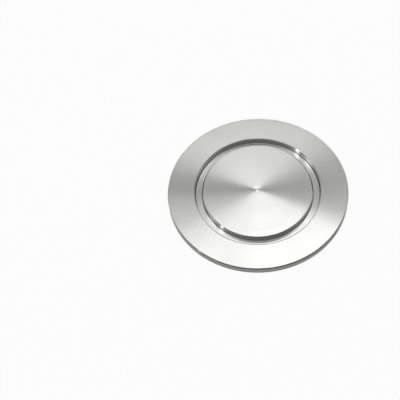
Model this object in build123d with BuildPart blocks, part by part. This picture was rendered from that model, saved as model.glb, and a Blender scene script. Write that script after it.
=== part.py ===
from build123d import *
import os
from math import radians, tan

# Blind flange for a small clamped pipe joint, turned from one piece of stainless steel bar.
# It lies on its flat back with the sealing face up. The origin is the centre of the back face,
# and +Z is the turning axis. Lengths are in millimetres and the angle is in degrees.

# Flange body
flange_diameter = 75.0
rim_height = 3.0  # from the edge of the clamp cone up to the sealing face
clamp_cone_angle = 15.0  # between the cone and the flat back
clamp_cone_width = 7.5  # across the cone, measured along the radius

# Groove for the centring ring, round a centre that stays level with the sealing face
groove_outer_diameter = 52.2
groove_width = 3.1
groove_depth = 2.7

# Edges broken at 45 degrees, and corners that the turning tool leaves round
rim_top_chamfer = 0.4
groove_mouth_chamfer = 0.4
rim_bottom_radius = 0.2
groove_floor_radius = 0.5

# Worked out from the sizes above
rim_radius = flange_diameter / 2
back_radius = rim_radius - clamp_cone_width
cone_height = clamp_cone_width * tan(radians(clamp_cone_angle))
thickness = cone_height + rim_height
groove_outer_radius = groove_outer_diameter / 2
raised_centre_radius = groove_outer_radius - groove_width

with BuildPart() as blind_flange:
    # Half section of the plain disc: flat back, clamp cone, rim and sealing face
    with BuildSketch(Plane.XZ) as half_section:
        with BuildLine():
            Polyline(
                (0, 0),
                (back_radius, 0),
                (rim_radius, cone_height),
                (rim_radius, thickness),
                (0, thickness),
                close=True,
            )
        make_face()
        rim_bottom = half_section.vertices().group_by(Axis.X)[-1].sort_by(Axis.Y)[0]
        fillet(rim_bottom, radius=rim_bottom_radius)
        rim_top = half_section.vertices().group_by(Axis.X)[-1].sort_by(Axis.Y)[-1]
        chamfer(rim_top, length=rim_top_chamfer)
    revolve(axis=Axis.Z)

    # Groove plunged into the sealing face
    with BuildSketch(Plane.XY.offset(thickness)):
        Circle(groove_outer_radius)
        Circle(raised_centre_radius, mode=Mode.SUBTRACT)
    extrude(amount=-groove_depth, mode=Mode.SUBTRACT)

    # The corners of its floor, and the edges of its mouth
    groove_edges = blind_flange.edges(Select.LAST).filter_by(GeomType.CIRCLE).group_by(Axis.Z)
    fillet(groove_edges[0], radius=groove_floor_radius)
    chamfer(groove_edges[-1], length=groove_mouth_chamfer)

blind_flange.part.label = "blind_flange"

os.makedirs("parts", exist_ok=True)
export_step(blind_flange.part, "parts/blind_flange.step")
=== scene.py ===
import math

import bmesh
import bpy
from mathutils import Matrix, Vector


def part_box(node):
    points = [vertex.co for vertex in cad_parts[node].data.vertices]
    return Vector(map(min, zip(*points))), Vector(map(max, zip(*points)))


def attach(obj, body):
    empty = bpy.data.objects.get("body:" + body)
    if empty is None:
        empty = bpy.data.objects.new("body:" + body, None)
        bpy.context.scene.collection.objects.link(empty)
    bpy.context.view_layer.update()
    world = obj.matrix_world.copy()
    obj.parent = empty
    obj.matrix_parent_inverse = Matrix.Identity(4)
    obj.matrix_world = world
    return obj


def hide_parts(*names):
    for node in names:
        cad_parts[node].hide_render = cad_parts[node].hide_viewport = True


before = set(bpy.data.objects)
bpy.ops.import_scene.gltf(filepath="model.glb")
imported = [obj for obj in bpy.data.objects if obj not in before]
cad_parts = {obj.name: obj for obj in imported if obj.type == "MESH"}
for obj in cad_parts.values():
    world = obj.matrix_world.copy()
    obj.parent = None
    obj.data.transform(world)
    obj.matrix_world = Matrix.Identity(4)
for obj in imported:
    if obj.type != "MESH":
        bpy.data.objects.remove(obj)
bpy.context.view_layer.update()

MM = 0.001

# The flange's section, in millimetres. Its height and outer radius come from the frame
_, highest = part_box("blind_flange")
RIM_RADIUS = highest[0] / MM
THICKNESS = highest[2] / MM
CLAMP_CONE_ANGLE = 15.0
CLAMP_CONE_WIDTH = 7.5
GROOVE_OUTER_RADIUS = 26.1
GROOVE_WIDTH = 3.1
GROOVE_DEPTH = 2.7
RIM_TOP_CHAMFER = 0.4
RIM_BOTTOM_RADIUS = 0.2
GROOVE_MOUTH_CHAMFER = 0.4
GROOVE_FLOOR_RADIUS = 0.5

# The chamfer on the groove's outer edge is a little shallower than 45 degrees
OUTER_EDGE_DROP = 0.3

# A shallow hollow ring, which the tool leaves round the very middle of the face
CENTRE_RING_RADIUS = 0.6
CENTRE_RING_WIDTH = 1.2
CENTRE_RING_DEPTH = 0.05
CENTRE_RING_ROUNDING = 5.0

# How finely the flange is turned, and the steps along each rounded corner
STEPS_ROUND = 256
ARC_SEGMENTS = 8

# An edge stays sharp where it turns by more than this, in degrees, as no step of a round does
SHARP_ANGLE = 13.0

# Points nearer than this, in metres, are one point
CLOSE = 1e-6

# How upright a face's normal is, as a cosine, where it belongs to a flat cut
LEVEL_COSINE = 0.998

# The map that follows the cut: round the axis, and along the section
CUT_MAP = "OFBake"

# The camera that took the photograph, with its angles in degrees
CAMERA_DISTANCE = 372.2 * MM
CAMERA_ELEVATION = 56.58
CAMERA_ROLL = 1.41
CLIP_START = 10 * MM

# The photograph, in pixels, and the width of the camera's sensor, in millimetres
IMAGE_SIZE = 400
FOCAL_LENGTH = 892.5
FLANGE_CENTRE_PIXEL = (257.45, 189.67)
SENSOR_WIDTH = 36.0

# The table, and how far the softboxes stand from the flange, in metres
FLOOR_SIZE = 3.0
SOFTBOX_DISTANCE = 1.0

TABLE_PAINT = "#DCDCDA"
WHITE = "#FFFFFF"

# How much plain white the table and the backdrop show to each kind of ray
WHITE_SHARES = {"Is Camera Ray": 0.96, "Is Glossy Ray": 0.1, "Is Transmission Ray": 0.1}

# How much brighter the room is towards +X, +Y and +Z, and its middle level
ROOM_SLOPE = (-0.07, 0.16, 0.42)
ROOM_LEVEL = 0.03

# The light of the pale walls at the horizon, and how soon it fades upward
HORIZON_LIGHT = 0.8
HORIZON_FADE = 4.0

# The tool's marks, in millimetres. Real feeds are about 0.1, and are drawn wider so that they show
FACING_FEED = 0.3
FINISHING_FEED = 0.2
SCALLOP_DEPTH = 0.001
BAND_WIDTH = 1.2
BAND_LENGTH = 30
BAND_DEPTH = 0.001

# The cut is rougher close to the middle of the face, where the work passes the tool slowly
ROUGH_CUT_RADIUS = 8.0
ROUGH_CUT_DEPTH = 0.02

# How much a facing scallop leans outward, as its rise over its width
FACING_LEAN = 0.007

# How rough each cut is, and how far that changes from band to band
FACED_ROUGHNESS = 0.20
FINISH_TURNED_ROUGHNESS = 0.06
ROUGHNESS_CHANGE = 0.02

# A quarter turn, which lays the spread of a light across the tool's marks
ACROSS_THE_MARKS = 0.25

# The steel's colour where it is cleaner and duller, and how wide such a patch is in millimetres
CLEAN_STEEL = "#C6C6C4"
DULL_STEEL = "#C1C1BF"
PATCH_WIDTH = 15

# How many finer layers of noise break up the bands and the patches
NOISE_DETAIL = 3.0


def linear(hex_colour):
    """An sRGB hex colour as linear red, green, blue and alpha."""
    channels = []
    for place in (1, 3, 5):
        value = int(hex_colour[place : place + 2], 16) / 255
        channels.append(value / 12.92 if value <= 0.04045 else ((value + 0.055) / 1.055) ** 2.4)
    return (*channels, 1.0)


def add_node(tree, kind, links=None, **settings):
    """A node with its settings, and its inputs set or linked by name or number."""
    node = tree.nodes.new(kind)
    for name, value in settings.items():
        setattr(node, name, value)
    for socket, value in (links or {}).items():
        if isinstance(value, bpy.types.NodeSocket):
            tree.links.new(value, node.inputs[socket])
        else:
            node.inputs[socket].default_value = value
    return node


def section_corners():
    """The half section from the middle of the back to the middle of the face.

    Each corner has its radius and height, and the radius it is rounded to.
    """
    cone_height = CLAMP_CONE_WIDTH * math.tan(math.radians(CLAMP_CONE_ANGLE))
    groove_inner_radius = GROOVE_OUTER_RADIUS - GROOVE_WIDTH
    groove_floor = THICKNESS - GROOVE_DEPTH
    return [
        (0, 0, 0),
        (RIM_RADIUS - CLAMP_CONE_WIDTH, 0, 0),
        (RIM_RADIUS, cone_height, RIM_BOTTOM_RADIUS),
        (RIM_RADIUS, THICKNESS - RIM_TOP_CHAMFER, 0),
        (RIM_RADIUS - RIM_TOP_CHAMFER, THICKNESS, 0),
        (GROOVE_OUTER_RADIUS + GROOVE_MOUTH_CHAMFER, THICKNESS, 0),
        (GROOVE_OUTER_RADIUS, THICKNESS - OUTER_EDGE_DROP, 0),
        (GROOVE_OUTER_RADIUS, groove_floor, GROOVE_FLOOR_RADIUS),
        (groove_inner_radius, groove_floor, GROOVE_FLOOR_RADIUS),
        (groove_inner_radius, THICKNESS - GROOVE_MOUTH_CHAMFER, 0),
        (groove_inner_radius - GROOVE_MOUTH_CHAMFER, THICKNESS, 0),
        (CENTRE_RING_RADIUS + CENTRE_RING_WIDTH, THICKNESS, CENTRE_RING_ROUNDING),
        (CENTRE_RING_RADIUS, THICKNESS - CENTRE_RING_DEPTH, CENTRE_RING_ROUNDING),
        (0, THICKNESS, 0),
    ]


def half_section(shape):
    """Draws the half section into the bmesh, and returns the vertex in the middle of the back."""
    corners = []
    for radius, height, rounding in section_corners():
        corners.append((shape.verts.new((radius * MM, 0, height * MM)), rounding))
    for (first, _), (second, _) in zip(corners, corners[1:]):
        shape.edges.new((first, second))
    for vert, rounding in corners:
        if rounding:
            one, other = [edge.other_vert(vert).co - vert.co for edge in vert.link_edges]
            reach = rounding / math.tan(one.angle(other) / 2)
            bmesh.ops.bevel(
                shape,
                geom=[vert],
                offset=reach * MM,
                offset_type="OFFSET",
                affect="VERTICES",
                segments=ARC_SEGMENTS,
                profile=0.5,
                material=-1,
            )
    return corners[0][0]


def measure_section(start, along):
    """Writes each vertex's distance along the section from its start, and returns its length."""
    vert, edge, distance = start, start.link_edges[0], 0.0
    vert[along] = distance
    while edge:
        distance += edge.calc_length()
        vert = edge.other_vert(vert)
        vert[along] = distance
        edge = next((ahead for ahead in vert.link_edges if ahead != edge), None)
    return distance


def map_the_cut(shape, along, length):
    """Lays the map, with the angle round the axis across it and the way along the section up it."""
    cut_map = shape.loops.layers.uv.new(CUT_MAP)
    for face in shape.faces:
        middle = face.calc_center_median()
        face_angle = math.atan2(middle.y, middle.x) % math.tau
        for loop in face.loops:
            place = loop.vert.co
            angle = face_angle
            if place.xy.length > CLOSE:
                off_middle = math.atan2(place.y, place.x) - face_angle
                angle += (off_middle + math.pi) % math.tau - math.pi
            loop[cut_map].uv = (angle / math.tau, loop.vert[along] / length)


def turned_flange():
    """The flange, turned from its half section round +Z, and the section's length."""
    shape = bmesh.new()
    along = shape.verts.layers.float.new("along_section")
    length = measure_section(half_section(shape), along)
    bmesh.ops.spin(
        shape,
        geom=shape.verts[:] + shape.edges[:],
        cent=(0, 0, 0),
        axis=(0, 0, 1),
        angle=math.tau,
        steps=STEPS_ROUND,
        use_merge=True,
    )
    bmesh.ops.remove_doubles(shape, verts=shape.verts[:], dist=CLOSE)
    bmesh.ops.recalc_face_normals(shape, faces=shape.faces[:])
    map_the_cut(shape, along, length)
    mesh = bpy.data.meshes.new("turned_flange")
    shape.to_mesh(mesh)
    shape.free()
    mesh.set_sharp_from_angle(angle=math.radians(SHARP_ANGLE))
    piece = bpy.data.objects.new("turned_flange", mesh)
    bpy.context.scene.collection.objects.link(piece)
    weighted = piece.modifiers.new("face_weighted_normals", "WEIGHTED_NORMAL")
    weighted.keep_sharp = True
    return piece, length


def tool_marks(tree, section_length, feed, lean):
    """The bumps that the tool leaves round the axis, and how well it cut there, from 0 to 1."""
    cut_place = add_node(tree, "ShaderNodeUVMap", uv_map=CUT_MAP)
    cut = add_node(tree, "ShaderNodeSeparateXYZ", {0: cut_place.outputs["UV"]})
    distance = add_node(
        tree, "ShaderNodeMath", {0: cut.outputs["Y"], 1: section_length}, operation="MULTIPLY"
    )

    # Each turn of the work leaves a shallow scallop as wide as the feed, which rises as a square
    turns = add_node(tree, "ShaderNodeMath", {0: distance.outputs[0], 1: feed}, operation="DIVIDE")
    turn = add_node(tree, "ShaderNodeMath", {0: turns.outputs[0]}, operation="FRACT")
    off_middle = add_node(
        tree, "ShaderNodeMath", {0: turn.outputs[0], 1: 0.5}, operation="SUBTRACT"
    )
    scallop = add_node(
        tree,
        "ShaderNodeMath",
        {0: off_middle.outputs[0], 1: off_middle.outputs[0]},
        operation="MULTIPLY",
    )

    # Wider bands, where the cut went a little deeper, fade in and out round the flange
    band = add_node(
        tree, "ShaderNodeMath", {0: distance.outputs[0], 1: BAND_WIDTH}, operation="DIVIDE"
    )
    place = add_node(tree, "ShaderNodeTexCoord")
    round_place = add_node(
        tree,
        "ShaderNodeMapping",
        {0: place.outputs["Object"], "Scale": (0, 1 / (BAND_LENGTH * MM), 1 / (BAND_LENGTH * MM))},
    )
    band_place = add_node(tree, "ShaderNodeCombineXYZ", {0: band.outputs[0]})
    whole_place = add_node(
        tree,
        "ShaderNodeVectorMath",
        {0: round_place.outputs[0], 1: band_place.outputs[0]},
        operation="ADD",
    )
    bands = add_node(
        tree,
        "ShaderNodeTexNoise",
        {"Vector": whole_place.outputs[0], "Scale": 1.0, "Detail": NOISE_DETAIL},
    )
    band_depth = add_node(
        tree,
        "ShaderNodeMapRange",
        {
            "Value": distance.outputs[0],
            "From Min": section_length - ROUGH_CUT_RADIUS,
            "From Max": section_length,
            "To Min": BAND_DEPTH,
            "To Max": ROUGH_CUT_DEPTH,
        },
    )

    # A leaning scallop is mostly its gentle side, so the whole cut seems to face a little outward
    leaning = add_node(
        tree, "ShaderNodeMath", {0: distance.outputs[0], 1: lean}, operation="MULTIPLY"
    )

    # Half a turn squared is a quarter, so four times that raises a scallop's edges by its depth
    scalloped = add_node(
        tree,
        "ShaderNodeMath",
        {0: scallop.outputs[0], 1: SCALLOP_DEPTH * 4, 2: leaning.outputs[0]},
        operation="MULTIPLY_ADD",
    )
    height = add_node(
        tree,
        "ShaderNodeMath",
        {0: bands.outputs[0], 1: band_depth.outputs[0], 2: scalloped.outputs[0]},
        operation="MULTIPLY_ADD",
    )
    marks = add_node(
        tree, "ShaderNodeBump", {"Height": height.outputs[0], "Strength": 1.0, "Distance": MM}
    )
    return marks.outputs["Normal"], bands.outputs[0]


def stainless_steel(name, roughness, feed, lean, section_length):
    """Bare stainless steel with a tool's marks round it, which spread a light along the radius."""
    material = bpy.data.materials.new(name)
    material.use_nodes = True
    tree = material.node_tree
    tree.nodes.clear()
    marks, cut = tool_marks(tree, section_length / MM, feed, lean)
    cut_roughness = add_node(
        tree,
        "ShaderNodeMapRange",
        {
            "Value": cut,
            "To Min": roughness - ROUGHNESS_CHANGE,
            "To Max": roughness + ROUGHNESS_CHANGE,
        },
    )
    place = add_node(tree, "ShaderNodeTexCoord")
    patches = add_node(
        tree,
        "ShaderNodeTexNoise",
        {
            "Vector": place.outputs["Object"],
            "Scale": 1 / (PATCH_WIDTH * MM),
            "Detail": NOISE_DETAIL,
        },
    )
    colour = add_node(
        tree,
        "ShaderNodeMix",
        {0: patches.outputs[0], 6: linear(CLEAN_STEEL), 7: linear(DULL_STEEL)},
        data_type="RGBA",
    )
    tangent = add_node(tree, "ShaderNodeTangent", direction_type="UV_MAP", uv_map=CUT_MAP)
    shader = add_node(
        tree,
        "ShaderNodeBsdfPrincipled",
        {
            "Base Color": colour.outputs[2],
            "Metallic": 1.0,
            "Roughness": cut_roughness.outputs[0],
            "Anisotropic": 1.0,
            "Anisotropic Rotation": ACROSS_THE_MARKS,
            "Tangent": tangent.outputs["Tangent"],
            "Normal": marks,
        },
    )
    add_node(tree, "ShaderNodeOutputMaterial", {"Surface": shader.outputs["BSDF"]})
    return material


def finish_surfaces(flange, section_length):
    """The level surfaces are faced, and all the others are cut by a finishing tool's side."""
    # Faced on a lathe: rings too fine to see draw every light out along the radius into a fan
    flange.data.materials.append(
        stainless_steel(
            "faced_stainless_steel", FACED_ROUGHNESS, FACING_FEED, FACING_LEAN, section_length
        )
    )
    # Finish turned: nearly a mirror, so that walls and broken edges show as dark and bright lines
    flange.data.materials.append(
        stainless_steel(
            "finish_turned_stainless_steel",
            FINISH_TURNED_ROUGHNESS,
            FINISHING_FEED,
            0.0,
            section_length,
        )
    )
    for face in flange.data.polygons:
        is_level = abs(face.normal.z) > LEVEL_COSINE
        face.material_index = 0 if is_level else 1


def white_share(tree):
    """How much plain white a ray is shown, by the kind of ray that it is."""
    path = add_node(tree, "ShaderNodeLightPath")
    share = 0.0
    for ray, ray_share in WHITE_SHARES.items():
        added = add_node(
            tree,
            "ShaderNodeMath",
            {0: path.outputs[ray], 1: ray_share, 2: share},
            operation="MULTIPLY_ADD",
        )
        share = added.outputs[0]
    return share


def white_table():
    """Matt white paint under a white glow, so that the table is white and holds the shadow."""
    material = bpy.data.materials.new("matt_white_painted_table")
    material.use_nodes = True
    tree = material.node_tree
    tree.nodes.clear()
    paint = add_node(tree, "ShaderNodeBsdfDiffuse", {"Color": linear(TABLE_PAINT)})
    glow = add_node(tree, "ShaderNodeEmission", {"Color": linear(WHITE), "Strength": 1.0})
    mixed = add_node(
        tree, "ShaderNodeMixShader", {0: white_share(tree), 1: paint.outputs[0], 2: glow.outputs[0]}
    )
    add_node(tree, "ShaderNodeOutputMaterial", {"Surface": mixed.outputs[0]})
    return material


def add_floor():
    """The table that the flange lies on."""
    shape = bmesh.new()
    bmesh.ops.create_grid(shape, x_segments=1, y_segments=1, size=FLOOR_SIZE / 2)
    mesh = bpy.data.meshes.new("floor")
    shape.to_mesh(mesh)
    shape.free()
    mesh.materials.append(white_table())
    floor = bpy.data.objects.new("floor", mesh)
    bpy.context.scene.collection.objects.link(floor)


def add_camera():
    """The camera looks at the flange's face, then turns until its centre is at its pixel."""
    elevation = math.radians(CAMERA_ELEVATION)
    aim = Vector((0, 0, THICKNESS * MM))
    place = aim + CAMERA_DISTANCE * Vector((0, -math.cos(elevation), math.sin(elevation)))
    across = (FLANGE_CENTRE_PIXEL[0] - IMAGE_SIZE / 2) / FOCAL_LENGTH
    up = (IMAGE_SIZE / 2 - FLANGE_CENTRE_PIXEL[1]) / FOCAL_LENGTH
    straight = Vector((0, 0, -1))
    look = (aim - place).to_track_quat("-Z", "Y").to_matrix()
    roll = Matrix.Rotation(math.radians(-CAMERA_ROLL), 3, "Z")
    turn = straight.rotation_difference(Vector((across, up, -1))).to_matrix().inverted()
    data = bpy.data.cameras.new("camera")
    data.sensor_width = SENSOR_WIDTH
    data.lens = FOCAL_LENGTH * SENSOR_WIDTH / IMAGE_SIZE
    data.clip_start = CLIP_START
    camera = bpy.data.objects.new("camera", data)
    camera.matrix_world = Matrix.Translation(place) @ (look @ roll @ turn).to_4x4()
    bpy.context.scene.collection.objects.link(camera)
    bpy.context.scene.camera = camera


def add_room_light():
    """A dim room with a pale ceiling and, low down, pale walls."""
    world = bpy.data.worlds.new("studio")
    bpy.context.scene.world = world
    world.use_nodes = True
    tree = world.node_tree
    tree.nodes.clear()
    direction = add_node(tree, "ShaderNodeTexCoord")
    slope = add_node(
        tree,
        "ShaderNodeVectorMath",
        {0: direction.outputs["Generated"], 1: ROOM_SLOPE},
        operation="DOT_PRODUCT",
    )
    level = add_node(
        tree,
        "ShaderNodeMath",
        {0: slope.outputs["Value"], 1: ROOM_LEVEL},
        operation="ADD",
        use_clamp=True,
    )

    # Low down, the pale walls are lit by the white table
    upright = add_node(tree, "ShaderNodeSeparateXYZ", {0: direction.outputs["Generated"]})
    from_top = add_node(
        tree,
        "ShaderNodeMath",
        {0: 1.0, 1: upright.outputs["Z"]},
        operation="SUBTRACT",
        use_clamp=True,
    )
    fading = add_node(
        tree, "ShaderNodeMath", {0: from_top.outputs[0], 1: HORIZON_FADE}, operation="POWER"
    )
    lit = add_node(
        tree,
        "ShaderNodeMath",
        {0: fading.outputs[0], 1: HORIZON_LIGHT, 2: level.outputs[0]},
        operation="MULTIPLY_ADD",
    )

    # A white backdrop hides the room from the camera
    seen = add_node(
        tree, "ShaderNodeMath", {0: lit.outputs[0], 1: white_share(tree)}, operation="MAXIMUM"
    )
    room = add_node(
        tree, "ShaderNodeBackground", {"Color": linear(WHITE), "Strength": seen.outputs[0]}
    )
    add_node(tree, "ShaderNodeOutputWorld", {"Surface": room.outputs[0]})


def soft_edges(lamp, side_fade, end_fade):
    """Makes a lamp fade towards its edges, as a cloth-fronted softbox does."""
    lamp.use_nodes = True
    tree = lamp.node_tree
    tree.nodes.clear()
    place = add_node(tree, "ShaderNodeNewGeometry")
    across = add_node(tree, "ShaderNodeSeparateXYZ", {0: place.outputs["Parametric"]})
    fades = []
    for axis, fade in (("X", side_fade), ("Y", end_fade)):
        # The way across times the rest of it is a hump, a quarter high, so four times it is whole
        rest = add_node(
            tree, "ShaderNodeMath", {0: 1.0, 1: across.outputs[axis]}, operation="SUBTRACT"
        )
        hump = add_node(
            tree,
            "ShaderNodeMath",
            {0: across.outputs[axis], 1: rest.outputs[0]},
            operation="MULTIPLY",
        )
        whole = add_node(tree, "ShaderNodeMath", {0: hump.outputs[0], 1: 4.0}, operation="MULTIPLY")
        faded = add_node(tree, "ShaderNodeMath", {0: whole.outputs[0], 1: fade}, operation="POWER")
        fades.append(faded.outputs[0])
    level = add_node(tree, "ShaderNodeMath", {0: fades[0], 1: fades[1]}, operation="MULTIPLY")
    glow = add_node(tree, "ShaderNodeEmission", {"Strength": level.outputs[0]})
    add_node(tree, "ShaderNodeOutputLight", {"Surface": glow.outputs[0]})


def add_softbox(name, brightness, azimuth, elevation, roll, size, fades):
    """A soft lamp that faces the flange.

    The brightness is that of its middle, where 1 is white. The azimuth from +X, the elevation and
    the roll are in degrees, and the size, across and up, in metres. The fades say how soon it dims
    towards its sides and its ends.
    """
    lamp = bpy.data.lights.new(name, "AREA")
    lamp.shape = "RECTANGLE"
    lamp.size, lamp.size_y = size
    lamp.energy = brightness * math.pi * size[0] * size[1]
    soft_edges(lamp, *fades)
    softbox = bpy.data.objects.new(name, lamp)
    to_side = Matrix.Rotation(math.radians(azimuth), 4, "Z")
    to_height = Matrix.Rotation(math.radians(90 - elevation), 4, "Y")
    outward = Matrix.Translation((0, 0, SOFTBOX_DISTANCE))
    upright = Matrix.Rotation(math.radians(90 + roll), 4, "Z")
    softbox.matrix_world = to_side @ to_height @ outward @ upright
    bpy.context.scene.collection.objects.link(softbox)


flange, section_length = turned_flange()
finish_surfaces(flange, section_length)
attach(flange, "root")
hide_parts("blind_flange")
add_floor()
add_camera()
add_room_light()
add_softbox("overhead_softbox", 1.35, 101, 74.3, -21, (0.70, 0.56), (0.45, 0.05))
add_softbox("rear_softbox", 3.0, 43, 67.4, 58, (0.25, 0.42), (2.5, 0.4))
add_softbox("rear_patch", 3.05, 87, 62.0, 3, (0.17, 0.12), (0.65, 0.05))
add_softbox("rear_right_softbox", 0.83, 49, 58.9, -8, (0.44, 0.22), (0.05, 0.05))
add_softbox("left_strip", 3.15, 191, 53.7, 28, (0.14, 1.44), (2.45, 0.15))
add_softbox("rear_left_strip", 2.2, 160, 56.3, 37, (0.29, 0.90), (2.15, 0.35))
bpy.context.scene.view_settings.view_transform = "Standard"
